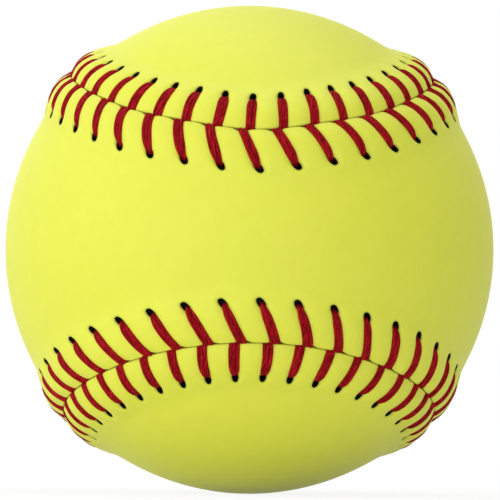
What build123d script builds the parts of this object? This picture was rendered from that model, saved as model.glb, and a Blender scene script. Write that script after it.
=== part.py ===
from build123d import *
from dataclasses import dataclass
import math
import os

# A raised-seam leather softball, in millimetres.
# The origin is the ball's centre, +Z is up, and the waist of the front panel faces -Y.
# The front panel's two lobes wrap round +X and -X, the rear panel's round +Z and -Z.

# Driving dimensions of the ball and its leather
cover_diameter = 97.0
leather_thickness = 1.4
cement_film = 0.2
cement_clearance = 0.05
cement_setback = 10.5
seam_gap = 0.12

# The raised lip that each panel's edge is rolled into along the seam
lip_height = 1.3
lip_crest_distance = 3.2
lip_toe_distance = 8.2
lip_shoulder_radius = 8.0
lip_leather = 1.0

# The seam's shape: each lobe has a round tip and two flatter flanks, all arcs of circles on the ball
tip_lean_deg = 22.4
tip_radius_deg = 43.5
tip_half_sweep_deg = 50.0

# The stitches, counted and placed along the seam from the middle of the front waist's upper edge
stitch_pairs = 44
stitch_offset = 2.5
stitch_drift = 0.6

# The sewing thread and the holes it runs in
thread_diameter = 1.1
thread_clearance = 0.06
twin_clearance = 0.3
front_hole_distance = 7.15
rear_hole_distance = 6.6
front_hole_shift = -2.3
rear_hole_shift = -1.2
hole_clearance = 0.1
hole_reach = 0.8
slot_clearance = 0.45
hole_bend_radius = 0.85
seam_bend_radius = 1.3
under_bend_radius = 12.0
thread_end_gap = 1.0

# Sizes that follow from the ones above
cover_radius = cover_diameter / 2
crest_radius = cover_radius + lip_height
thread_radius = thread_diameter / 2
thread_lift = thread_radius + thread_clearance
crest_angle = lip_crest_distance / cover_radius
flank_turn = (lip_toe_distance - lip_crest_distance) / cover_radius
flank_chord = crest_radius**2 + cover_radius**2 - 2 * crest_radius * cover_radius * math.cos(flank_turn)
lip_flank_radius = flank_chord / (2 * (crest_radius - cover_radius * math.cos(flank_turn)))
leather_inside = cover_radius - leather_thickness
lip_overrun = leather_thickness
inner_cut = leather_inside - leather_thickness
outer_cut = crest_radius + leather_thickness


def lip_radius(distance, depth):
    """Distance from the ball's centre of the lip, this far from the seam and this deep in its leather."""
    arc_radius = lip_shoulder_radius if distance < lip_crest_distance else lip_flank_radius
    centre = crest_radius - arc_radius
    turn = distance / cover_radius - crest_angle
    return centre * math.cos(turn) + math.sqrt((arc_radius - depth) ** 2 - (centre * math.sin(turn)) ** 2)


# The thread under the leather passes just below the panels' edges, and the core lies just below it.
under_radius = lip_radius(0, lip_leather) - thread_lift
cement_outside = leather_inside - cement_clearance
cement_inside = min(under_radius - thread_lift, cement_outside - cement_film)
core_radius = cement_inside - cement_clearance


# The seam as a closed chain of tangent arcs on the ball
@dataclass
class SeamArc:
    """One arc of the seam: turned about an axis through the ball's centre, from start towards travel."""

    start: Vector
    travel: Vector
    tilt: float
    sweep: float
    begins: float = 0.0

    def axis(self):
        return self.start.cross(self.travel)

    def length(self):
        return self.sweep * cover_radius * math.sin(self.tilt)

    def plane(self):
        return Plane(origin=(0, 0, 0), x_dir=self.start, z_dir=self.travel * -1)

    def profile_point(self, off, radius):
        angle = self.tilt - off / cover_radius
        return (radius * math.sin(angle), radius * math.cos(angle))


def flank_arc(tip_axis, outward, across):
    """The flank from the end of a lobe's tip to where the seam crosses to the next lobe."""
    lean = math.radians(tip_lean_deg)
    tip_angle = math.radians(tip_radius_deg)
    half = math.radians(tip_half_sweep_deg)
    spoke = outward * math.cos(half) + across * math.sin(half)
    travel = across * math.cos(half) - outward * math.sin(half)
    corner = tip_axis * math.cos(tip_angle) + spoke * math.sin(tip_angle)
    inward = tip_axis * math.sin(tip_angle) - spoke * math.cos(tip_angle)
    side = tip_axis * math.cos(lean) - outward * math.sin(lean)
    crossing = (side + across) * math.sqrt(0.5)
    radius_angle = math.atan2(1 - corner.dot(crossing), inward.dot(crossing))
    flank_axis = corner * math.cos(radius_angle) + inward * math.sin(radius_angle)
    start = (corner - flank_axis * math.cos(radius_angle)) * (1 / math.sin(radius_angle))
    to_crossing = crossing - flank_axis * math.cos(radius_angle)
    sweep = math.atan2(to_crossing.dot(travel), to_crossing.dot(start))
    tilt = math.acos(corner.dot(start.cross(travel)))
    return SeamArc(start, travel, tilt, sweep)


def lobe_arcs(side, lean_side, across):
    """The seam round one lobe: in along a flank, round the tip towards across, out along a flank."""
    lean = math.radians(tip_lean_deg)
    tip_angle = math.radians(tip_radius_deg)
    half = math.radians(tip_half_sweep_deg)
    tip_axis = side * math.cos(lean) + lean_side * math.sin(lean)
    outward = lean_side * math.cos(lean) - side * math.sin(lean)
    start = outward * math.cos(half) - across * math.sin(half)
    travel = outward * math.sin(half) + across * math.cos(half)
    first_point = tip_axis * math.cos(tip_angle) + start * math.sin(tip_angle)
    tip = SeamArc(start, travel, math.acos(first_point.dot(start.cross(travel))), 2 * half)
    leaving = flank_arc(tip_axis, outward, across)
    mirrored = flank_arc(tip_axis, outward, across * -1)
    turned = mirrored.start * math.cos(mirrored.sweep) + mirrored.travel * math.sin(mirrored.sweep)
    back = mirrored.start * math.sin(mirrored.sweep) - mirrored.travel * math.cos(mirrored.sweep)
    arriving = SeamArc(turned, back, math.pi - mirrored.tilt, mirrored.sweep)
    return [arriving, tip, leaving]


right = Vector(1, 0, 0)
behind = Vector(0, 1, 0)
above = Vector(0, 0, 1)
seam_arcs = [
    *lobe_arcs(above, behind * -1, right * -1),
    *lobe_arcs(right * -1, behind, above * -1),
    *lobe_arcs(above * -1, behind * -1, right),
    *lobe_arcs(right, behind, above),
]
seam_length = 0.0
for arc in seam_arcs:
    arc.begins = seam_length
    seam_length += arc.length()
stitch_count = 2 * stitch_pairs
stitch_pitch = seam_length / stitch_count

# The chain starts at the upper right, so half a lobe further on is the middle of the waist's upper edge.
lobe_count = 4
first_stitch = seam_length / lobe_count / 2 + stitch_offset


def on_ball(along, off, radius):
    """Point this far along the seam, off it towards the front panel, at a radius from the centre."""
    along = along % seam_length
    arc = [candidate for candidate in seam_arcs if candidate.begins <= along][-1]
    turn = (along - arc.begins) / (cover_radius * math.sin(arc.tilt))
    spoke = arc.start * math.cos(turn) + arc.travel * math.sin(turn)
    angle = arc.tilt - off / cover_radius
    return (spoke * math.sin(angle) + arc.axis() * math.cos(angle)) * radius


def stitch_place(index):
    """Distance along the seam of one stitch: evenly spaced, with the slow drift of handwork."""
    turn = 2 * math.pi * index / stitch_count
    return first_stitch + index * stitch_pitch - stitch_drift * math.cos(turn)


def cutting_plane(along, off):
    """Plane under the leather, facing out, its x axis along the seam and its y axis towards the front panel."""
    step = seam_gap
    origin = on_ball(along, off, inner_cut)
    along_seam = on_ball(along + step, off, inner_cut) - on_ball(along - step, off, inner_cut)
    return Plane(origin=origin, x_dir=along_seam, z_dir=origin)


# Profiles in the plane square to the seam
def lip_outline(arc, depth, reach):
    """The double hump of the two lips at a depth in their leather, closed below, out to a reach."""
    half_distances = [
        reach,
        (reach + lip_crest_distance) / 2,
        lip_crest_distance,
        lip_crest_distance / 2,
        0,
    ]
    front = [arc.profile_point(d, lip_radius(d, depth)) for d in half_distances]
    rear = [arc.profile_point(-d, lip_radius(d, depth)) for d in half_distances]
    with BuildSketch(arc.plane()) as outline:
        with BuildLine():
            ThreePointArc(front[0], front[1], front[2])
            ThreePointArc(front[2], front[3], front[4])
            ThreePointArc(rear[4], rear[3], rear[2])
            ThreePointArc(rear[2], rear[1], rear[0])
            Line(rear[0], front[0])
        make_face()
    return outline.sketch


def parting_outline(arc):
    """A thin strip square to the ball, which parts the two panels along the seam."""
    half_gap = seam_gap / 2
    corners = [
        arc.profile_point(half_gap, inner_cut),
        arc.profile_point(half_gap, outer_cut),
        arc.profile_point(-half_gap, outer_cut),
        arc.profile_point(-half_gap, inner_cut),
    ]
    with BuildSketch(arc.plane()) as outline:
        with BuildLine():
            Polyline(*corners, close=True)
        make_face()
    return outline.sketch


def setback_outline(arc):
    """A round section centred on the seam, which holds the cement back from it."""
    with BuildSketch(arc.plane()) as outline:
        with Locations(arc.profile_point(0, cement_outside)):
            Circle(cement_setback)
    return outline.sketch


def seam_ring(outline_for):
    """A closed ring along the whole seam, from the outline that a function draws for each arc."""
    with BuildPart() as ring:
        for arc in seam_arcs:
            seam_axis = Axis((0, 0, 0), arc.axis())
            revolve(outline_for(arc), axis=seam_axis, revolution_arc=math.degrees(arc.sweep))
    return ring.part


# The thread's route
def leg_corners(hole_distance):
    """Where a thread's leg over the lip turns: radius at the hole, distance and radius above the crest,
    radius at the seam. Each straight run touches the lip's raised outline half way along."""
    flank_lean = math.asin((hole_distance - lip_crest_distance) / 2 / lip_flank_radius)
    shoulder_lean = math.asin(lip_crest_distance / 2 / lip_shoulder_radius)
    flank_run = (crest_radius - lip_flank_radius) * math.cos(flank_lean) + lip_flank_radius + thread_lift
    shoulder_centre = crest_radius - lip_shoulder_radius
    shoulder_run = shoulder_centre * math.cos(shoulder_lean) + lip_shoulder_radius + thread_lift
    hole_angle = hole_distance / cover_radius - crest_angle
    hole_radius = flank_run / math.cos(hole_angle - flank_lean)
    seam_radius = shoulder_run / math.cos(shoulder_lean - crest_angle)
    spread = math.sin(flank_lean + shoulder_lean)
    sideways = (flank_run * math.cos(shoulder_lean) - shoulder_run * math.cos(flank_lean)) / spread
    upwards = (flank_run * math.sin(shoulder_lean) + shoulder_run * math.sin(flank_lean)) / spread
    top_distance = lip_crest_distance + cover_radius * math.atan2(sideways, upwards)
    return hole_radius, top_distance, math.hypot(sideways, upwards), seam_radius


def thread_route(first_side):
    """Corners of one thread's route and the bend at each, from hole to hole right round the ball."""
    points = []
    bends = []
    for index in range(stitch_count):
        side = first_side if index % 2 == 0 else -first_side
        hole_distance, hole_shift = (
            (front_hole_distance, front_hole_shift) if side > 0 else (rear_hole_distance, rear_hole_shift)
        )
        next_distance, next_shift = (
            (rear_hole_distance, rear_hole_shift) if side > 0 else (front_hole_distance, front_hole_shift)
        )
        hole_radius, top_distance, top_radius, seam_radius = leg_corners(hole_distance)
        seam_place = stitch_place(index) + side * (thread_radius + twin_clearance / 2)
        hole_place = stitch_place(index) + hole_shift
        next_place = stitch_place(index + 1) + next_shift
        top_place = seam_place + (hole_place - seam_place) * top_distance / hole_distance
        points += [
            on_ball(hole_place, side * hole_distance, under_radius),
            on_ball(hole_place, side * hole_distance, hole_radius),
            on_ball(top_place, side * top_distance, top_radius),
            on_ball(seam_place, 0, seam_radius),
            on_ball(seam_place, 0, under_radius),
            on_ball((seam_place + next_place) / 2, -side * next_distance / 2, under_radius),
        ]
        bends += [
            hole_bend_radius,
            hole_bend_radius,
            lip_shoulder_radius,
            seam_bend_radius,
            hole_bend_radius,
            under_bend_radius,
        ]
    loose_end = points[-1] + (points[0] - points[-1]).normalized() * thread_end_gap
    return [loose_end, *points], bends


def rounded_path(points, bends):
    """Straight runs joined by tangent arcs at the corners between the first point and the last."""
    edges = []
    last = points[0]
    for before, corner, after, bend in zip(points, points[1:], points[2:], bends):
        back = (before - corner).normalized()
        onward = (after - corner).normalized()
        half = math.acos(back.dot(onward)) / 2
        towards = (back + onward).normalized()
        bend_start = corner + back * (bend / math.tan(half))
        bend_end = corner + onward * (bend / math.tan(half))
        bend_middle = corner + towards * (bend / math.sin(half) - bend)
        edges.append(Edge.make_line(last, bend_start))
        edges.append(Edge.make_three_point_arc(bend_start, bend_middle, bend_end))
        last = bend_end
    edges.append(Edge.make_line(last, points[-1]))
    return Wire(edges)


def sewn_thread(first_side):
    """One needle's thread: a single tube along its whole route."""
    path = rounded_path(*thread_route(first_side))
    with BuildPart() as thread:
        with BuildSketch(Plane(origin=path @ 0, z_dir=path % 0)):
            Circle(thread_radius)
        sweep(path=path, clean=False)
    expected = path.length * math.pi * thread_radius**2
    print(f"thread volume {thread.part.volume:.1f}, section times length {expected:.1f}")
    return thread.part


# Core: one moulded ball
with BuildPart() as core:
    Sphere(core_radius)

# Cement: a film between the core and each panel, held back from the seam to leave the thread room
with BuildPart() as cement:
    Sphere(cement_outside)
    Sphere(cement_inside, mode=Mode.SUBTRACT)
    add(seam_ring(setback_outline), mode=Mode.SUBTRACT)
with BuildPart() as front_cement:
    add(cement.solids().sort_by(Axis.Y)[0])
with BuildPart() as rear_cement:
    add(cement.solids().sort_by(Axis.Y)[-1])

# Leather: a ball with two lips along the seam, hollowed to the leather's thickness and parted at the seam
with BuildPart() as leather:
    Sphere(cover_radius)
    add(seam_ring(lambda arc: lip_outline(arc, 0, lip_toe_distance + lip_overrun)))
with BuildPart() as hollow:
    Sphere(leather_inside)
    add(seam_ring(lambda arc: lip_outline(arc, lip_leather, lip_toe_distance + lip_overrun)))
with BuildPart() as panels:
    add(leather.part)
    add(hollow.part, mode=Mode.SUBTRACT)
    add(seam_ring(parting_outline), mode=Mode.SUBTRACT)

# Needle holes, drawn out away from the seam, and the slots where each pair of threads dives into the seam
hole_width = thread_diameter + 2 * hole_clearance
hole_length = thread_diameter + hole_clearance + hole_reach
hole_middle = (hole_reach - hole_clearance) / 2
slot_length = 2 * thread_diameter + twin_clearance + 2 * hole_clearance
slot_width = thread_diameter + 2 * slot_clearance
slot_planes = [cutting_plane(stitch_place(index), 0) for index in range(stitch_count)]
front_hole_planes = [
    cutting_plane(stitch_place(index) + front_hole_shift, front_hole_distance + hole_middle)
    for index in range(stitch_count)
]
rear_hole_planes = [
    cutting_plane(stitch_place(index) + rear_hole_shift, -rear_hole_distance - hole_middle)
    for index in range(stitch_count)
]

# Front panel: its waist faces the viewer
with BuildPart() as front_cover:
    add(panels.solids().sort_by(Axis.Y)[0])
    with BuildSketch(*front_hole_planes):
        SlotOverall(hole_length, hole_width, rotation=90)
    with BuildSketch(*slot_planes):
        Rectangle(slot_length, slot_width)
    extrude(amount=outer_cut - inner_cut, mode=Mode.SUBTRACT)

# Rear panel: the same piece, a quarter turn round and facing back
with BuildPart() as rear_cover:
    add(panels.solids().sort_by(Axis.Y)[-1])
    with BuildSketch(*rear_hole_planes):
        SlotOverall(hole_length, hole_width, rotation=90)
    with BuildSketch(*slot_planes):
        Rectangle(slot_length, slot_width)
    extrude(amount=outer_cut - inner_cut, mode=Mode.SUBTRACT)

# Threads: one starts over the front panel and the other over the rear one, and they change sides each stitch
with BuildPart() as thread_one:
    add(sewn_thread(1))
with BuildPart() as thread_two:
    add(sewn_thread(-1))

# Each finished piece, written under its own name
pieces = {
    "core": core,
    "front_cement": front_cement,
    "rear_cement": rear_cement,
    "front_cover": front_cover,
    "rear_cover": rear_cover,
    "thread_one": thread_one,
    "thread_two": thread_two,
}
os.makedirs("parts", exist_ok=True)
for name, piece in pieces.items():
    piece.part.label = name
    export_step(piece.part, f"parts/{name}.step")
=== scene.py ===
import math
from dataclasses import dataclass

import bpy
import numpy as np
from mathutils import Matrix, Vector
from mathutils.geometry import delaunay_2d_cdt


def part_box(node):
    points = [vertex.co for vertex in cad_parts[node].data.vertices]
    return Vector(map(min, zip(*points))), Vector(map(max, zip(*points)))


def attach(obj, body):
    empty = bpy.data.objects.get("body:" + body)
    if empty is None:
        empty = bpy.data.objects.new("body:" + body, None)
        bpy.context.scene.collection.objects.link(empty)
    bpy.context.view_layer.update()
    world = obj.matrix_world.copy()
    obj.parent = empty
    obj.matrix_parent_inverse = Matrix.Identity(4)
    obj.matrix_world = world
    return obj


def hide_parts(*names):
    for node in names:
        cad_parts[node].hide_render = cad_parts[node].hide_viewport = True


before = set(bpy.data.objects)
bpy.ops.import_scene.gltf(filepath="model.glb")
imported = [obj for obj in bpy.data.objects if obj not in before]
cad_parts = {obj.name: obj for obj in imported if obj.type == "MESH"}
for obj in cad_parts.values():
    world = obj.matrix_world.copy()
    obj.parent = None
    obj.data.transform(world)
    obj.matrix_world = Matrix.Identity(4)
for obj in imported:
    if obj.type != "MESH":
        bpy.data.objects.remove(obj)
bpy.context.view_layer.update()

# A raised-seam leather softball. Sizes are in millimetres, and meshes are scaled to metres as they are made.
# The origin is the ball's centre, +Z is up, and the waist of the front panel faces -Y.
METRES = 0.001
cover_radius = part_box("rear_cover")[1].z / METRES

# The seam's shape, as the solids have it: each lobe has a round tip and two flatter flanks
tip_lean = math.radians(22.4)
tip_radius = math.radians(43.5)
tip_half_sweep = math.radians(50.0)
lobe_count = 4

# The raised lip along each panel's edge, and the leather's thickness in it and past it
lip_height = 1.42
lip_crest_distance = 3.2
lip_toe_distance = 9.6
lip_shoulder_radius = 8.0
lip_toe_ease = 0.5
lip_fade_distance = lip_toe_distance + 1.0
lip_leather = 1.0
leather_thickness = 1.4
seam_gap = 0.04
edge_roll = 0.26

# The stitches along the seam; a leg leans on to a little past its hole
stitch_count = 88
stitch_offset = 2.5
stitch_drift = 0.6
entry_offset = 0.7
lean_reach_share = 1.1

# How handwork strays: the seam over the top dips at its middle, the panels sit higher at the ball's two
# sides, the lip is fuller at the two upper corners, and each leg has its own bow and width
upper_dip = 1.0
upper_dip_reach = 9.0
side_lift = 0.85
side_lift_from = 0.4
side_lift_full = 0.8
corner_rise = 0.3
corner_distance = 58.0
corner_reach = 22.0
leg_bow = 0.14
leg_width_variation = 0.045

# How the thread draws the leather in, and the leather puffs up between stitches
groove_depth = 0.28
groove_half_width = 1.0
groove_before_hole = 0.2
groove_past_hole = 1.9
turn_in_depth = 0.22
turn_in_reach = 1.3
puff_height = 0.33
puff_variation = 0.25
puff_squareness = 0.7
puff_end = lip_toe_distance + 0.8
dimple_depth = 0.2
notch_depth = 0.34
notch_half_width = 0.85
notch_tail = 0.95
notch_short_tail = notch_tail / 3

# Needle holes
hole_half_width = 0.7
hole_half_length = 1.0
hole_squareness = 2.4
hole_tilt = 0.4
hole_tilt_width = 1.2
hole_rim_fade = 1.6
leg_inset = 0.55

# Painted shade on the leather, dark in the seam and at the needle holes, and its fine folds across the lip
crease_shade = 0.7
crease_reach = 0.08
crease_sharpness = 8
fold_start = 0.8
fold_fade = 2.5
crisp_edge_angle = math.radians(50)

# The flattened thread: three plies side by side, which wander and twist a little
ribbon_width = 1.93
ribbon_thickness = 0.85
ribbon_sink = 0.2
packed_width = 1.0
packed_thickness = 1.0
under_height = -0.97
plies = (-1, 0, 1)
ply_overlap = 1.22
ply_wander = 0.08
ply_wander_length = 3.1
ply_wander_lag = 2.0
ply_lift = 0.06
ply_lift_length = 7.0
ply_lift_lag = 2.1
ply_twist = 0.9
ply_texture_shift = 40

# A leg's way over the lip, and how it narrows towards its hole
crown_points = 8
crown_inset = 0.6
crown_end = 0.95
taper_share = 0.45
taper_before = 1.6
taper_past = 0.4

# A leg's way up from under its hole: distance past the leg's point in the hole, height, width and thickness
hole_rise = [
    (0.05, under_height, packed_width, packed_thickness),
    (0.1, -0.45, packed_width, packed_thickness),
    (0.05, 0.15, 1.3, ribbon_thickness),
]

# Its way over the panel's edge: distance from the seam, height from the crown's end, width and thickness
edge_turn = [
    (0.35, -0.1, 1.85, ribbon_thickness),
    (0.0, -0.65, 1.6, packed_thickness),
]

# And its way down the seam: distance from the seam, height, width and thickness
seam_dive = [
    (-0.1, -0.3, packed_width, packed_thickness),
    (0.0, under_height, packed_width, packed_thickness),
]

# How finely the meshes are divided
columns_per_stitch = 16
column_count = stitch_count * columns_per_stitch
hole_columns = 2
hole_rows = 3
hole_row_step = 0.36
morph_reach = 2.2
strip_reach = 15.0
edge_row_shares = (0.0, 0.06, 0.2, 0.45, 0.8, 1.3)
lip_row_count = 12
toe_row_count = 6
inside_edge_rows = (0, 3, 6, 10)
inside_row_step = 3
fill_spacing = 1.6
fill_margin = 0.6
fill_cell_share = 0.866
seam_sample_step = 0.5
ply_sides = 8
span_samples = 3
sideways_step = 0.05
TINY = 1e-6

random = np.random.default_rng(12)


def smooth_step(low, high, value):
    """0 below low, 1 above high, and a smooth rise between."""
    share = np.clip((value - low) / (high - low), 0, 1)
    return share * share * (3 - 2 * share)


def bell(value, reach):
    """1 at zero, falling smoothly to either side over about this reach."""
    return np.exp(-((value / reach) ** 2))


# The seam, as a closed chain of tangent arcs on the ball
def flank_arc(tip_axis, outward, across):
    """The flank from the end of a lobe's tip to where the seam crosses to the next lobe."""
    spoke = outward * math.cos(tip_half_sweep) + across * math.sin(tip_half_sweep)
    travel = across * math.cos(tip_half_sweep) - outward * math.sin(tip_half_sweep)
    corner = tip_axis * math.cos(tip_radius) + spoke * math.sin(tip_radius)
    inward = tip_axis * math.sin(tip_radius) - spoke * math.cos(tip_radius)
    side = tip_axis * math.cos(tip_lean) - outward * math.sin(tip_lean)
    crossing = (side + across) * math.sqrt(0.5)
    radius = math.atan2(1 - corner @ crossing, inward @ crossing)
    flank_axis = corner * math.cos(radius) + inward * math.sin(radius)
    start = (corner - flank_axis * math.cos(radius)) / math.sin(radius)
    to_crossing = crossing - flank_axis * math.cos(radius)
    sweep = math.atan2(to_crossing @ travel, to_crossing @ start)
    tilt = math.acos(corner @ np.cross(start, travel))
    return start, travel, tilt, sweep


def lobe_arcs(side, lean_side, across):
    """The seam round one lobe: in along a flank, round the tip towards across, out along a flank."""
    tip_axis = side * math.cos(tip_lean) + lean_side * math.sin(tip_lean)
    outward = lean_side * math.cos(tip_lean) - side * math.sin(tip_lean)
    start = outward * math.cos(tip_half_sweep) - across * math.sin(tip_half_sweep)
    travel = outward * math.sin(tip_half_sweep) + across * math.cos(tip_half_sweep)
    first_point = tip_axis * math.cos(tip_radius) + start * math.sin(tip_radius)
    tip_tilt = math.acos(first_point @ np.cross(start, travel))
    back_start, back_travel, back_tilt, sweep = flank_arc(tip_axis, outward, -across)
    turned = back_start * math.cos(sweep) + back_travel * math.sin(sweep)
    back = back_start * math.sin(sweep) - back_travel * math.cos(sweep)
    arriving = (turned, back, math.pi - back_tilt, sweep)
    tip = (start, travel, tip_tilt, 2 * tip_half_sweep)
    return [arriving, tip, flank_arc(tip_axis, outward, across)]


right = np.array([1.0, 0.0, 0.0])
behind = np.array([0.0, 1.0, 0.0])
above = np.array([0.0, 0.0, 1.0])
seam_arcs = [
    *lobe_arcs(above, -behind, -right),
    *lobe_arcs(-right, behind, -above),
    *lobe_arcs(-above, -behind, right),
    *lobe_arcs(right, behind, above),
]
arc_start = np.array([arc[0] for arc in seam_arcs])
arc_travel = np.array([arc[1] for arc in seam_arcs])
arc_axis = np.cross(arc_start, arc_travel)
arc_tilt = np.array([arc[2] for arc in seam_arcs])
arc_sweep = np.array([arc[3] for arc in seam_arcs])
arc_ends = np.cumsum(arc_sweep * cover_radius * np.sin(arc_tilt))
seam_length = arc_ends[-1]
arc_begins = np.concatenate([[0.0], arc_ends[:-1]])
stitch_pitch = seam_length / stitch_count
upper_middle = seam_length / lobe_count / 2
first_stitch = upper_middle + stitch_offset


def on_ball(along, off):
    """Directions from the ball's centre, this far along the seam and off it towards the front panel."""
    along = np.mod(along, seam_length)
    off = off + upper_dip * bell(along - upper_middle, upper_dip_reach)
    arc = np.searchsorted(arc_begins, along, side="right") - 1
    tilt = arc_tilt[arc]
    turn = ((along - arc_begins[arc]) / (cover_radius * np.sin(tilt)))[..., None]
    spoke = arc_start[arc] * np.cos(turn) + arc_travel[arc] * np.sin(turn)
    angle = (tilt - off / cover_radius)[..., None]
    direction = spoke * np.sin(angle) + arc_axis[arc] * np.cos(angle)
    to_side = smooth_step(side_lift_from, side_lift_full, np.abs(direction[..., :1]))
    direction = direction + above * to_side * side_lift / cover_radius
    return direction / np.linalg.norm(direction, axis=-1, keepdims=True)


def stitch_place(stitches):
    """Distance along the seam after so many stitches, with the slow drift of handwork."""
    turn = 2 * math.pi * stitches / stitch_count
    return first_stitch + stitches * stitch_pitch - stitch_drift * np.cos(turn)


def past_nearest(stitches):
    """Distance along the seam from the nearest stitch."""
    return (stitches - np.round(stitches)) * stitch_pitch


@dataclass
class Panel:
    """One side of the seam, and how far the middle of each needle hole is from the seam and its stitch."""

    name: str
    side: int
    hole_distance: float
    hole_shift: float
    bows: np.ndarray

    def lean(self, stitches, distance):
        """How far along the seam a leg has moved from its stitch, this far from the seam."""
        entry = self.side * entry_offset
        share = np.minimum(distance / self.hole_distance, lean_reach_share)
        turn = np.mod(stitches, stitch_count)
        bow = np.interp(turn, np.arange(stitch_count + 1), np.append(self.bows, self.bows[0]))
        return entry + (self.hole_shift - entry) * share + bow * np.sin(math.pi * np.clip(share, 0, 1))


front = Panel(
    name="front_cover",
    side=1,
    hole_distance=7.5,
    hole_shift=-2.2,
    bows=random.normal(0, leg_bow, stitch_count),
)
rear = Panel(
    name="rear_cover",
    side=-1,
    hole_distance=7.05,
    hole_shift=-1.15,
    bows=random.normal(0, leg_bow, stitch_count),
)

# The leather's shape
crest_radius = cover_radius + lip_height
crest_angle = lip_crest_distance / cover_radius
flank_turn = (lip_toe_distance - lip_crest_distance) / cover_radius
flank_chord = crest_radius**2 + cover_radius**2 - 2 * crest_radius * cover_radius * math.cos(flank_turn)
lip_flank_radius = flank_chord / (2 * (crest_radius - cover_radius * math.cos(flank_turn)))
pillow_puff = puff_height * (1 + puff_variation * random.uniform(-1, 1, stitch_count))


def lip_profile(distance):
    """Height of the lip over the smooth ball, its toe eased into the ball."""
    arc_radius = np.where(distance < lip_crest_distance, lip_shoulder_radius, lip_flank_radius)
    centre = crest_radius - arc_radius
    turn = distance / cover_radius - crest_angle
    lip = centre * np.cos(turn) + np.sqrt(arc_radius**2 - (centre * np.sin(turn)) ** 2) - cover_radius
    eased = (lip + np.sqrt(lip**2 + lip_toe_ease**2)) / 2
    return eased * (1 - smooth_step(lip_fade_distance, strip_reach, distance))


def fullness(stitches):
    """How much fuller the lip is than its usual height, most at the two upper corners."""
    half_way = seam_length / 2
    from_middle = np.mod(stitch_place(stitches) - upper_middle + half_way, seam_length) - half_way
    return 1 + corner_rise * bell(np.abs(from_middle) - corner_distance, corner_reach)


def leather_height(panel, stitches, distance):
    """Height of the leather over the smooth ball: the lip, drawn in under the legs, puffed up between them
    and pulled down on the seam's side of each needle hole."""
    from_leg = past_nearest(stitches)
    puff = pillow_puff[np.floor(stitches).astype(int) % stitch_count]
    swell = (0.5 - 0.5 * np.cos(2 * math.pi * from_leg / stitch_pitch)) ** puff_squareness
    puff_share = 1 - smooth_step(lip_crest_distance, puff_end, distance)
    groove_start = panel.hole_distance - groove_before_hole
    groove_end = panel.hole_distance + groove_past_hole
    groove = (1 - smooth_step(groove_start, groove_end, distance)) * bell(from_leg, groove_half_width)
    away = (distance - panel.hole_distance) / hole_half_length
    tilt = hole_tilt * away * np.exp(-(away**2) / 2) * bell(from_leg, hole_tilt_width)
    drawn_in = turn_in_depth * bell(distance, turn_in_reach) + groove_depth * groove
    return lip_profile(distance) * fullness(stitches) + puff_share * puff * swell + tilt - drawn_in


def notch(panel, stitches):
    """How far each leg holds the panel's edge back from the seam, with a pointed tail past a front leg."""
    past_leg = past_nearest(stitches)
    tail = notch_tail if panel.side > 0 else notch_short_tail
    rise = smooth_step(-notch_half_width - notch_short_tail, -notch_half_width, past_leg)
    fall = 1 - np.clip((past_leg - notch_half_width) / tail, 0, 1)
    return notch_depth * rise * fall


def strip_rows(panel):
    """Distances of the strip's rows from the panel's edge: close together over the rolled edge, and regular
    round the holes. Also the number of the row through the middles of the holes."""
    hole_block = panel.hole_distance + hole_row_step * np.arange(-hole_rows - 1, hole_rows + 2)
    rolled = edge_roll * np.array(edge_row_shares)
    lip = np.linspace(rolled[-1], hole_block[0], lip_row_count + 2)[1:-1]
    toe = np.linspace(hole_block[-1], strip_reach, toe_row_count + 1)[1:]
    hole_row = len(rolled) + len(lip) + hole_rows + 1
    return np.concatenate([rolled, lip, hole_block, toe]), hole_row


def opened_hole(panel, stitches, distance):
    """Moves the grid's points near each hole so that the block of cells left out becomes an oval."""
    nearest = np.round(stitches)
    across = past_nearest(stitches)
    away = distance - panel.hole_distance
    block_width = hole_columns * stitch_pitch / columns_per_stitch
    block_length = hole_rows * hole_row_step
    ring = np.maximum(np.abs(across) / block_width, np.abs(away) / block_length)
    ring = np.maximum(ring, TINY)
    square_across = across / (block_width * ring)
    square_away = away / (block_length * ring)
    powers = np.abs(square_across) ** hole_squareness + np.abs(square_away) ** hole_squareness
    round_off = np.maximum(powers ** (1 / hole_squareness), TINY)
    weight = 1 - smooth_step(1, morph_reach, ring)
    across = across + weight * (square_across / round_off * hole_half_width * ring - across)
    away = away + weight * (square_away / round_off * hole_half_length * ring - away)
    return nearest + across / stitch_pitch, panel.hole_distance + away


def hole_nearness(panel, stitches, distance):
    """1 at a hole's rim, fading out over about a millimetre round it."""
    across = past_nearest(stitches)
    away = distance - panel.hole_distance
    out = np.hypot(across / hole_half_width, away / hole_half_length) - 1
    return np.exp(-np.maximum(out, 0) * hole_rim_fade)


@dataclass
class Strip:
    """The strip along a panel's edge, with one entry for each of its points."""

    directions: np.ndarray
    outside: np.ndarray
    inside: np.ndarray
    shade: np.ndarray
    by_seam: np.ndarray


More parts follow.
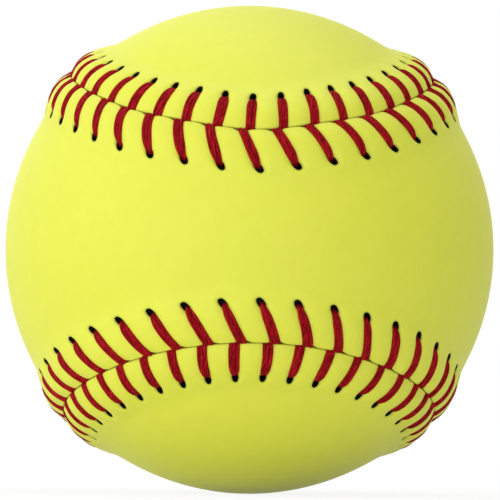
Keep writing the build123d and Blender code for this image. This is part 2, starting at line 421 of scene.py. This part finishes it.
def panel_strip(panel, rows):
    """The strip's points, from the panel's edge to where the leather is plain: where each lies, its radius
    outside and inside, how much shade is painted on it and its place by the seam."""
    stitches, edge = np.meshgrid(np.arange(column_count) / columns_per_stitch, rows)
    held_back = seam_gap / 2 + notch(panel, stitches)
    distance = edge + held_back * (1 - smooth_step(edge_roll, lip_crest_distance, edge))
    stitches, distance = opened_hole(panel, stitches, distance)
    along = stitch_place(stitches) + panel.lean(stitches, distance)
    rim = hole_nearness(panel, stitches, distance)
    roll = np.maximum(edge_roll - edge, 0)
    rolled_off = edge_roll - np.sqrt(edge_roll**2 - roll**2)
    height = leather_height(panel, stitches, distance) - rolled_off - dimple_depth * rim**2
    thicker = smooth_step(lip_toe_distance, strip_reach, distance)
    thickness = lip_leather + (leather_thickness - lip_leather) * thicker
    underside = lip_profile(distance) - thickness
    # Painted shade: darkest in the seam's crease and at each needle hole's rim
    shade = crease_shade * np.maximum(np.exp(-edge / crease_reach), rim**crease_sharpness)
    folds = smooth_step(0, fold_start, distance) - smooth_step(fold_fade, lip_toe_distance, distance)
    return Strip(
        directions=on_ball(along, panel.side * distance).reshape(-1, 3),
        outside=cover_radius + height.ravel(),
        inside=cover_radius + underside.ravel(),
        shade=shade.ravel(),
        by_seam=np.stack([along, distance, folds], axis=-1).reshape(-1, 3),
    )


def fill_points(panel):
    """Evenly spread directions on the ball, inside the panel and clear of the strip along its edge."""
    count = int(4 * math.pi * cover_radius**2 / (fill_cell_share * fill_spacing**2))
    index = np.arange(count) + 0.5
    height = 1 - 2 * index / count
    turn = math.pi * (1 + math.sqrt(5)) * index
    girth = np.sqrt(1 - height**2)
    spread = np.stack([girth * np.cos(turn), girth * np.sin(turn), height], axis=1)
    along = np.arange(0, seam_length, seam_sample_step)
    seam = on_ball(along, np.zeros_like(along))
    towards_front = on_ball(along, np.ones_like(along)) - seam
    nearest = np.argmax(spread @ seam.T, axis=1)
    gap = np.arccos(np.clip(np.sum(spread * seam[nearest], axis=1), -1, 1)) * cover_radius
    facing = np.sum(spread * towards_front[nearest], axis=1) * panel.side
    return spread[(facing > 0) & (gap > strip_reach + fill_margin * fill_spacing)]


def fill_faces(panel, ring, inner):
    """Triangles over the middle of a panel: a flat triangulation of the stereographic projection."""
    inside_outline = 1
    merge_distance = 1e-9
    directions = np.concatenate([ring, inner])
    scale = 1 - panel.side * directions[:, 1]
    flat = directions[:, [0, 2]] / scale[:, None]
    outline = list(range(len(ring)))
    made = delaunay_2d_cdt([tuple(p) for p in flat], [], [outline], inside_outline, merge_distance)
    sources = [entry[0] for entry in made[3]]
    return [tuple(sources[corner] for corner in face) for face in made[2]]


def outward_facing(points, face):
    """True where a face's corners run anticlockwise seen from outside the ball."""
    first, second, third = (points[corner] for corner in face[:3])
    return np.dot(np.cross(second - first, third - first), first) > 0


def strip_point(row, column):
    """Number of the point in this row and column of a strip, which closes on itself round the seam."""
    return row * column_count + column % column_count


def in_hole(hole_row, row, column):
    """True for the strip's cells that are left out for a needle hole."""
    cell = (column + hole_columns) % columns_per_stitch
    return hole_row - hole_rows <= row < hole_row + hole_rows and cell < 2 * hole_columns


def strip_faces(hole_row, kept_rows, flip):
    """Faces between these rows of a strip, with the needle holes left out."""
    faces = []
    for low, high in zip(kept_rows, kept_rows[1:]):
        for column in range(column_count):
            if in_hole(hole_row, low, column):
                continue
            face = [
                strip_point(low, column),
                strip_point(low, column + 1),
                strip_point(high, column + 1),
                strip_point(high, column),
            ]
            faces.append(face[::-1] if flip else face)
    return faces


def hole_outline(hole_row, stitch):
    """Numbers of the points round one needle hole, in order."""
    middle = stitch * columns_per_stitch
    low = hole_row - hole_rows
    high = hole_row + hole_rows
    left = middle - hole_columns
    far = middle + hole_columns
    return [
        *[strip_point(low, column) for column in range(left, far)],
        *[strip_point(row, far) for row in range(low, high)],
        *[strip_point(high, column) for column in range(far, left, -1)],
        *[strip_point(row, left) for row in range(high, low, -1)],
    ]


def wall_faces(outline, below, flip):
    """Faces from an outline of outside points to the inside points, which are numbered this much higher."""
    faces = []
    for first, second in zip(outline, outline[1:] + outline[:1]):
        face = [first, second, second + below, first + below]
        faces.append(face[::-1] if flip else face)
    return faces


def renumbered(faces, shift):
    """These faces with each point's number raised by the shift."""
    return [[corner + shift for corner in face] for face in faces]


def panel_mesh(panel):
    """One leather panel, closed: outside, inside, the rolled edge between them and the needle holes."""
    rows, hole_row = strip_rows(panel)
    strip = panel_strip(panel, rows)
    inner = fill_points(panel)
    inner_outside = np.full(len(inner), cover_radius)
    directions = np.concatenate([strip.directions, inner])
    outside = np.concatenate([strip.outside, inner_outside])
    inside = np.concatenate([strip.inside, inner_outside - leather_thickness])
    points = np.concatenate([directions * outside[:, None], directions * inside[:, None]])
    below = len(directions)

    mirrored = panel.side > 0
    strip_count = len(strip.directions)
    last_row_start = strip_count - column_count
    triangles = fill_faces(panel, directions[last_row_start:strip_count], inner)
    triangles = renumbered(triangles, last_row_start)
    triangles = [face if outward_facing(points, face) else face[::-1] for face in triangles]
    outer_faces = strip_faces(hole_row, list(range(len(rows))), mirrored)
    outer_faces += triangles
    edge_outline = [strip_point(0, column) for column in range(column_count)]
    outer_faces += wall_faces(edge_outline, below, not mirrored)

    hole_block = range(hole_row - hole_rows - 1, hole_row + hole_rows + 2)
    lip_rows = range(inside_edge_rows[-1] + inside_row_step, hole_block[0], inside_row_step)
    inside_rows = [*inside_edge_rows, *lip_rows, *hole_block, len(rows) - 1]
    flesh_faces = renumbered(strip_faces(hole_row, inside_rows, not mirrored), below)
    flesh_faces += renumbered([face[::-1] for face in triangles], below)
    for stitch in range(stitch_count):
        flesh_faces += wall_faces(hole_outline(hole_row, stitch), below, mirrored)

    # Painted shade: the inside points take it in full, so the panel's cut edge in the seam is painted
    # olive-dark
    shade = np.concatenate([strip.shade, np.zeros(len(inner)), np.ones(below)])
    by_seam = np.concatenate([strip.by_seam, np.zeros((len(inner) + below, 3))])
    return points, outer_faces, flesh_faces, np.column_stack([shade, by_seam])


# The thread's route and its plies
def leg_controls(panel, stitch):
    """Control points of one leg, from under its hole, over the lip, to under the seam.
    Each is a place along the seam, a distance off it, a height, a width and a thickness."""
    hole = panel.hole_distance - leg_inset
    crown = np.linspace(hole - crown_inset, crown_end, crown_points)
    leather = leather_height(panel, np.full_like(crown, stitch), crown)
    over = leather + ribbon_thickness / 2 - ribbon_sink
    taper = 1 - taper_share * smooth_step(hole - taper_before, hole + taper_past, crown)
    width = ribbon_width * taper * random.normal(1, leg_width_variation)
    rows = [(hole + past, h, w, t) for past, h, w, t in hole_rise]
    rows += [(d, h, w, ribbon_thickness) for d, h, w in zip(crown, over, width)]
    rows += [(d, over[-1] + rise, w, t) for d, rise, w, t in edge_turn]
    rows += seam_dive
    place = stitch_place(stitch)
    return [(place + float(panel.lean(stitch, d)), panel.side * d, h, w, t) for d, h, w, t in rows]


def spline_weights(t):
    """Weights of four control points at this share of a span of a uniform cubic B-spline."""
    return np.array([
        (1 - t) ** 3,
        3 * t**3 - 6 * t**2 + 4,
        -3 * t**3 + 3 * t**2 + 3 * t + 1,
        t**3,
    ]) / 6


def sampled_spline(controls, samples):
    """Points on the uniform cubic B-spline with these control points."""
    made = []
    for index in range(len(controls) - 3):
        span = controls[index:index + 4]
        for t in np.arange(samples) / samples:
            made.append(spline_weights(t) @ span)
    return np.array(made)


def tube_faces(start, ring_count):
    """Faces of a closed tube whose rings of points are numbered on from start."""
    faces = []
    for ring in range(ring_count - 1):
        low = start + ring * ply_sides
        for side in range(ply_sides):
            after = (side + 1) % ply_sides
            faces.append([low + side, low + after, low + ply_sides + after, low + ply_sides + side])
    last = start + (ring_count - 1) * ply_sides
    faces.append([start + side for side in range(ply_sides)][::-1])
    faces.append([last + side for side in range(ply_sides)])
    return faces


def thread_mesh(first_side):
    """One needle's thread right round the ball, as three plies laid side by side, and each point's place
    along and round its ply."""
    controls = []
    for stitch in range(stitch_count):
        panel = front if first_side * (-1) ** stitch > 0 else rear
        controls += leg_controls(panel, stitch)
    route = sampled_spline(np.array(controls), span_samples)
    along, off, height, width, thickness = route.T
    centre = on_ball(along, off) * (cover_radius + height)[:, None]
    forward = np.gradient(centre, axis=0)
    forward /= np.linalg.norm(forward, axis=1)[:, None]
    sideways = on_ball(along + sideways_step, off) - on_ball(along - sideways_step, off)
    sideways -= forward * np.sum(sideways * forward, axis=1)[:, None]
    sideways /= np.linalg.norm(sideways, axis=1)[:, None]
    upward = np.cross(sideways, forward)
    travelled = np.concatenate([[0], np.cumsum(np.linalg.norm(np.diff(centre, axis=0), axis=1))])

    turn = 2 * math.pi * np.arange(ply_sides) / ply_sides
    ring_count = len(centre)
    ply_half = width / (2 * len(plies)) * ply_overlap
    spacing = width / 2 - ply_half
    across = np.cos(turn)[None, :, None] * (sideways * ply_half[:, None])[:, None, :]
    lifted = np.sin(turn)[None, :, None] * (upward * (thickness / 2)[:, None])[:, None, :]
    points = []
    fibres = []
    faces = []
    for ply in plies:
        wander = ply_wander * np.sin(travelled / ply_wander_length + ply_wander_lag * ply)
        lift = ply_lift * np.cos(travelled / ply_lift_length + ply_lift_lag * ply)
        middle = centre + sideways * (ply * spacing + wander)[:, None] + upward * lift[:, None]
        faces += tube_faces(len(points) * ring_count * ply_sides, ring_count)
        points.append((middle[:, None, :] + across + lifted).reshape(-1, 3))
        twist = turn[None, :] + travelled[:, None] * ply_twist + ply
        length = np.repeat(travelled[:, None], ply_sides, 1) + ply_texture_shift * ply
        fibres.append(np.stack([length, np.cos(twist), np.sin(twist)], 2).reshape(-1, 3))
    return np.concatenate(points), faces, np.concatenate(fibres)


# Colours, each a ramp of (position, colour) stops
leather_yellow = [(0.3, (0.652, 0.684, 0.05, 1)), (0.7, (0.664, 0.694, 0.054, 1))]
leather_mottle = [(0.35, (0.636, 0.668, 0.046, 1)), (0.65, (0.68, 0.708, 0.06, 1))]
# Painted shade: the olive that the leather darkens to in the seam, at the needle holes and on its cut edge
painted_crease_shade = (0.13, 0.135, 0.015, 1)
# Painted shade: the near-black of the leather's back, which darkens the needle holes and the seam
flesh_painted_shade = [(0.3, (0.004, 0.004, 0.003, 1)), (0.7, (0.014, 0.014, 0.009, 1))]
# Crimson thread with painted shade in the dips of its fibre texture and a paler pink painted highlight on
# its crests
thread_reds_and_painted_light = [
    (0.39, (0.055, 0.0003, 0.001, 1)),
    (0.5, (0.235, 0.0006, 0.003, 1)),
    (0.62, (0.58, 0.015, 0.026, 1)),
]
core_black = [(0.3, (0.006, 0.006, 0.007, 1)), (0.7, (0.02, 0.02, 0.022, 1))]
cement_amber = [(0.3, (0.25, 0.13, 0.03, 1)), (0.7, (0.42, 0.25, 0.07, 1))]
white = (1, 1, 1, 1)

# How textures are drawn out: the thread's strands and fuzz along and round the ply, the leather's folds
# along the seam and away from it
strand_stretch = (0.22, 3.2, 3.2)
fuzz_stretch = (1.7, 2.6, 2.6)
fold_stretch = (1.5, 0.35, 0.0)


# Materials
def new_material(name):
    """A material with a Principled shader, and functions that add a node and link two sockets."""
    material = bpy.data.materials.new(name)
    material.use_nodes = True
    tree = material.node_tree

    def add(kind, inputs=None, **settings):
        node = tree.nodes.new(kind)
        for key, value in settings.items():
            setattr(node, key, value)
        for key, value in (inputs or {}).items():
            if isinstance(value, bpy.types.NodeSocket):
                tree.links.new(value, node.inputs[key])
            else:
                node.inputs[key].default_value = value
        return node

    def link(source, target):
        tree.links.new(source, target)

    return material, tree.nodes["Principled BSDF"], add, link


def ramp(add, factor, stops):
    """A colour ramp between these (position, colour) stops."""
    node = add("ShaderNodeValToRGB", {"Fac": factor})
    band = node.color_ramp
    band.elements[0].position, band.elements[0].color = stops[0]
    band.elements[1].position, band.elements[1].color = stops[-1]
    for position, colour in stops[1:-1]:
        band.elements.new(position).color = colour
    return node.outputs["Color"]


def noise(add, place, scale, detail):
    """Noise over these places."""
    return add("ShaderNodeTexNoise", {"Vector": place, "Scale": scale, "Detail": detail}).outputs["Fac"]


def drawn_out(add, place, stretch):
    """These places, scaled by a different factor along each axis."""
    return add("ShaderNodeVectorMath", {0: place, 1: stretch}, operation="MULTIPLY").outputs["Vector"]


def mixed(add, kind, share, first, second):
    """A blend of two colours or values: none of the second at a share of 0, all of it at 1."""
    return add("ShaderNodeMix", {"Factor": share, "A": first, "B": second}, data_type=kind).outputs["Result"]


def bump(add, height, strength, distance, normal=None):
    """A bumped normal, on top of another where one is given."""
    inputs = {"Strength": strength, "Distance": distance, "Height": height}
    if normal is not None:
        inputs["Normal"] = normal
    return add("ShaderNodeBump", inputs).outputs["Normal"]


def leather_material():
    """Optic-yellow finished leather: faint mottling, fine pebble grain, and painted shade darkening the
    creases.
    """
    material, shader, add, link = new_material("yellow_leather")
    place = add("ShaderNodeTexCoord").outputs["Object"]
    mottle = noise(add, place, scale=420.0, detail=4.0)
    yellow = ramp(add, noise(add, place, scale=38.0, detail=3.0), leather_yellow)
    mottled = mixed(add, "RGBA", 0.3, yellow, ramp(add, mottle, leather_mottle))
    # Painted shade in the seam, at the needle holes and on the cut edge, blended towards olive
    painted_shade = add("ShaderNodeAttribute", attribute_name="painted_shade").outputs["Fac"]
    link(mixed(add, "RGBA", painted_shade, mottled, painted_crease_shade), shader.inputs["Base Color"])

    grain = add(
        "ShaderNodeTexVoronoi", {"Vector": place, "Scale": 1500.0, "Smoothness": 0.6}, feature="SMOOTH_F1"
    ).outputs["Distance"]
    pebbles = bump(add, grain, strength=0.2, distance=0.00006)
    fine = noise(add, place, scale=2600.0, detail=5.0)
    pores = bump(add, fine, strength=0.1, distance=0.00005, normal=pebbles)
    by_seam = add("ShaderNodeAttribute", attribute_name="by_seam").outputs["Vector"]
    fold_share = add("ShaderNodeSeparateXYZ", {"Vector": by_seam}).outputs["Z"]
    folds = noise(add, drawn_out(add, by_seam, fold_stretch), scale=1.0, detail=3.0)
    height = add("ShaderNodeMath", {0: folds, 1: fold_share}, operation="MULTIPLY").outputs["Value"]
    link(bump(add, height, strength=0.5, distance=0.0002, normal=pores), shader.inputs["Normal"])

    rough = add("ShaderNodeMapRange", {"Value": mottle, "To Min": 0.52, "To Max": 0.58})
    link(rough.outputs["Result"], shader.inputs["Roughness"])
    shader.inputs["Specular IOR Level"].default_value = 0.38
    return material


def flesh_material():
    """The back of the leather, seen in the needle holes and the seam, near-black as painted shade there."""
    material, shader, add, link = new_material("leather_flesh")
    nap = noise(add, add("ShaderNodeTexCoord").outputs["Object"], scale=2200.0, detail=6.0)
    # Painted shade: near-black, so that the needle holes and the seam read dark
    link(ramp(add, nap, flesh_painted_shade), shader.inputs["Base Color"])
    link(bump(add, nap, strength=0.5, distance=0.0001), shader.inputs["Normal"])
    shader.inputs["Roughness"].default_value = 0.9
    shader.inputs["Specular IOR Level"].default_value = 0.1
    return material


def thread_material():
    """Waxed crimson thread: twisted fibres, with painted shade between them and a paler painted highlight on
    them.
    """
    material, shader, add, link = new_material("red_thread")
    fibre = add("ShaderNodeAttribute", attribute_name="fibre").outputs["Vector"]
    strands = noise(add, drawn_out(add, fibre, strand_stretch), scale=1.6, detail=5.0)
    fuzz = noise(add, drawn_out(add, fibre, fuzz_stretch), scale=1.4, detail=4.0)
    texture = mixed(add, "FLOAT", 0.2, strands, fuzz)
    # Painted shade and highlight: darker where the fibre bump dips, paler pink where it rises
    link(ramp(add, texture, thread_reds_and_painted_light), shader.inputs["Base Color"])
    link(bump(add, texture, strength=0.6, distance=0.00012), shader.inputs["Normal"])
    rough = add("ShaderNodeMapRange", {"Value": strands, "To Min": 0.8, "To Max": 0.6})
    link(rough.outputs["Result"], shader.inputs["Roughness"])
    shader.inputs["Specular IOR Level"].default_value = 0.06
    return material


def core_material():
    """Dark moulded polyurethane, glossy with the glue brushed on it."""
    material, shader, add, link = new_material("core_polyurethane")
    cells = noise(add, add("ShaderNodeTexCoord").outputs["Object"], scale=900.0, detail=4.0)
    link(ramp(add, cells, core_black), shader.inputs["Base Color"])
    link(bump(add, cells, strength=0.2, distance=0.0001), shader.inputs["Normal"])
    shader.inputs["Roughness"].default_value = 0.55
    shader.inputs["Specular IOR Level"].default_value = 0.2
    return material


def cement_material():
    """Amber contact cement, brushed on thinly."""
    material, shader, add, link = new_material("amber_cement")
    brushed = noise(add, add("ShaderNodeTexCoord").outputs["Object"], scale=160.0, detail=5.0)
    link(ramp(add, brushed, cement_amber), shader.inputs["Base Color"])
    link(bump(add, brushed, strength=0.3, distance=0.0002), shader.inputs["Normal"])
    shader.inputs["Roughness"].default_value = 0.35
    return material


# Pieces
def new_piece(name, points, faces, materials, first_of_second):
    """A smooth mesh in metres. Faces from first_of_second on take the last of the materials."""
    mesh = bpy.data.meshes.new(name)
    mesh.from_pydata([tuple(point) for point in points * METRES], [], faces)
    for material in materials:
        mesh.materials.append(material)
    index = np.zeros(len(faces), dtype=np.int32)
    index[first_of_second:] = len(materials) - 1
    mesh.polygons.foreach_set("material_index", index)
    mesh.shade_smooth()
    piece = bpy.data.objects.new(name, mesh)
    bpy.context.scene.collection.objects.link(piece)
    return piece


def set_values(piece, name, values):
    """Keeps one number for each point under this name."""
    attribute = piece.data.attributes.new(name, "FLOAT", "POINT")
    attribute.data.foreach_set("value", values.copy())


def set_vectors(piece, name, vectors):
    """Keeps one vector for each point under this name."""
    attribute = piece.data.attributes.new(name, "FLOAT_VECTOR", "POINT")
    attribute.data.foreach_set("vector", vectors.ravel())


def without_loose_points(points, faces, values):
    """Drops the points that no face uses, and renumbers the faces."""
    used = np.zeros(len(points), dtype=bool)
    used[np.concatenate([np.array(face) for face in faces])] = True
    number = np.cumsum(used) - 1
    return points[used], [[int(number[corner]) for corner in face] for face in faces], values[used]


def make_panel(panel, leather, flesh):
    """A leather panel in place of its CAD node."""
    points, outer_faces, flesh_faces, values = panel_mesh(panel)
    points, faces, values = without_loose_points(points, outer_faces + flesh_faces, values)
    piece = new_piece(panel.name + "_leather", points, faces, [leather, flesh], len(outer_faces))
    # How much shade is painted on each point of the leather
    set_values(piece, "painted_shade", values[:, 0])
    set_vectors(piece, "by_seam", values[:, 1:])
    piece.data.set_sharp_from_angle(angle=crisp_edge_angle)
    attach(piece, "root")
    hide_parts(panel.name)


def make_thread(node, first_side, material):
    """A thread in place of its CAD node; its first leg is on the front panel where first_side is 1."""
    points, faces, fibres = thread_mesh(first_side)
    piece = new_piece(node + "_plies", points, faces, [material], 0)
    set_vectors(piece, "fibre", fibres)
    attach(piece, "root")
    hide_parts(node)


def dress(node, material):
    """Gives a CAD node that stays in view its finish."""
    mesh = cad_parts[node].data
    mesh.materials.clear()
    mesh.materials.append(material)


leather = leather_material()
flesh = flesh_material()
thread = thread_material()
cement = cement_material()
make_panel(front, leather, flesh)
make_panel(rear, leather, flesh)
make_thread("thread_one", 1, thread)
make_thread("thread_two", -1, thread)
dress("core", core_material())
dress("front_cement", cement)
dress("rear_cement", cement)

# Camera, from the photograph: distance in ball radii, the ball's turn in radians and its outline in pixels
camera_distance = 12.0
ball_turn = (-0.0665, 0.011, 0.0248)
outline_radius_px = 244.0
outline_centre_px = (249.5, 249.8)
frame_px = 500.0


def turn_about(axis, angle):
    """A rotation about one of the frame's axes."""
    return np.array(Matrix.Rotation(angle, 3, axis))


def make_camera():
    """The photograph's camera: the ball stays put, so the camera takes the ball's turn the other way."""
    turned = turn_about("Z", ball_turn[2]) @ turn_about("Y", ball_turn[1]) @ turn_about("X", ball_turn[0])
    data = bpy.data.cameras.new("camera")
    focal_px = outline_radius_px * math.sqrt(camera_distance**2 - 1)
    data.lens = data.sensor_width * focal_px / frame_px
    data.shift_x = (frame_px / 2 - outline_centre_px[0]) / frame_px
    data.shift_y = (outline_centre_px[1] - frame_px / 2) / frame_px
    camera = bpy.data.objects.new("camera", data)
    bpy.context.scene.collection.objects.link(camera)
    pose = np.eye(4)
    pose[:3, 0] = turned.T @ right
    pose[:3, 1] = turned.T @ above
    pose[:3, 2] = turned.T @ -behind
    pose[:3, 3] = turned.T @ (-behind * camera_distance * cover_radius * METRES)
    camera.matrix_world = Matrix(pose.tolist())
    bpy.context.scene.camera = camera


# Floor and light, in metres and watts. The floor's white is partial near the ball, so that its shadow shows.
floor_reach = 3.0
floor_colour = (0.94, 0.94, 0.94, 1)
shadow_near = 0.06
shadow_far = 0.4
white_near = 0.88
all_round_light = 0.27


def seen_directly(tree):
    """1 for what the camera sees, itself or in gloss and glass, and 0 for light that is scattered."""
    rays = tree.nodes.new("ShaderNodeLightPath")
    seen = rays.outputs["Is Camera Ray"]
    for ray in ("Is Glossy Ray", "Is Transmission Ray"):
        either = tree.nodes.new("ShaderNodeMath")
        either.operation = "MAXIMUM"
        tree.links.new(seen, either.inputs[0])
        tree.links.new(rays.outputs[ray], either.inputs[1])
        seen = either.outputs["Value"]
    return seen


def floor_material():
    """Pale and matt, and white to the camera, apart from the ball's shadow."""
    material, shader, add, link = new_material("pale_floor")
    shader.inputs["Base Color"].default_value = floor_colour
    shader.inputs["Roughness"].default_value = 0.8
    glow = add("ShaderNodeEmission", {"Strength": 1.0})
    place = add("ShaderNodeTexCoord").outputs["Object"]
    distance = add("ShaderNodeVectorMath", {0: place}, operation="LENGTH").outputs["Value"]
    whiteness = add("ShaderNodeMapRange", {
        "Value": distance,
        "From Min": shadow_near,
        "From Max": shadow_far,
        "To Min": white_near,
        "To Max": 1.0,
    })
    seen = seen_directly(material.node_tree)
    share = add("ShaderNodeMath", {0: seen, 1: whiteness.outputs["Result"]}, operation="MULTIPLY")
    surface = add("ShaderNodeMixShader", {
        0: share.outputs["Value"],
        1: shader.outputs["BSDF"],
        2: glow.outputs["Emission"],
    })
    link(surface.outputs["Shader"], material.node_tree.nodes["Material Output"].inputs["Surface"])
    return material


def make_floor():
    """A square floor that the ball rests on."""
    low = -cover_radius * METRES
    corners = [(x * floor_reach, y * floor_reach, low) for x, y in ((-1, -1), (1, -1), (1, 1), (-1, 1))]
    mesh = bpy.data.meshes.new("floor")
    mesh.from_pydata(corners, [], [(0, 1, 2, 3)])
    mesh.materials.append(floor_material())
    floor = bpy.data.objects.new("floor", mesh)
    bpy.context.scene.collection.objects.link(floor)


def make_world():
    """Even white light from all round, and a white background."""
    world = bpy.data.worlds.new("studio")
    bpy.context.scene.world = world
    world.use_nodes = True
    tree = world.node_tree
    light = tree.nodes["Background"]
    light.inputs["Color"].default_value = white
    light.inputs["Strength"].default_value = all_round_light
    backdrop = tree.nodes.new("ShaderNodeBackground")
    backdrop.inputs["Color"].default_value = white
    backdrop.inputs["Strength"].default_value = 1.0
    surface = tree.nodes.new("ShaderNodeMixShader")
    tree.links.new(seen_directly(tree), surface.inputs[0])
    tree.links.new(light.outputs["Background"], surface.inputs[1])
    tree.links.new(backdrop.outputs["Background"], surface.inputs[2])
    tree.links.new(surface.outputs["Shader"], tree.nodes["World Output"].inputs["Surface"])


def make_lamp(name, place, width, height, power):
    """A soft box that faces the ball."""
    data = bpy.data.lights.new(name, "AREA")
    data.shape = "RECTANGLE"
    data.size = width
    data.size_y = height
    data.energy = power
    lamp = bpy.data.objects.new(name, data)
    bpy.context.scene.collection.objects.link(lamp)
    lamp.location = place
    lamp.rotation_mode = "QUATERNION"
    lamp.rotation_quaternion = (-lamp.location).to_track_quat("-Z", "Y")


make_camera()
make_floor()
make_world()
make_lamp("key", place=(-0.95, -0.85, 0.4), width=1.2, height=1.2, power=5.6)
make_lamp("side", place=(-1.2, -0.2, 0.35), width=1.2, height=1.2, power=5.5)
make_lamp("top", place=(0.12, -0.05, 1.29), width=1.5, height=1.5, power=12.0)
make_lamp("low_fill", place=(-0.1, -0.95, 0.05), width=1.5, height=0.18, power=2.8)
make_lamp("back", place=(-0.6, 0.85, 0.65), width=1.3, height=1.3, power=2.5)
bpy.context.scene.view_settings.view_transform = "Standard"
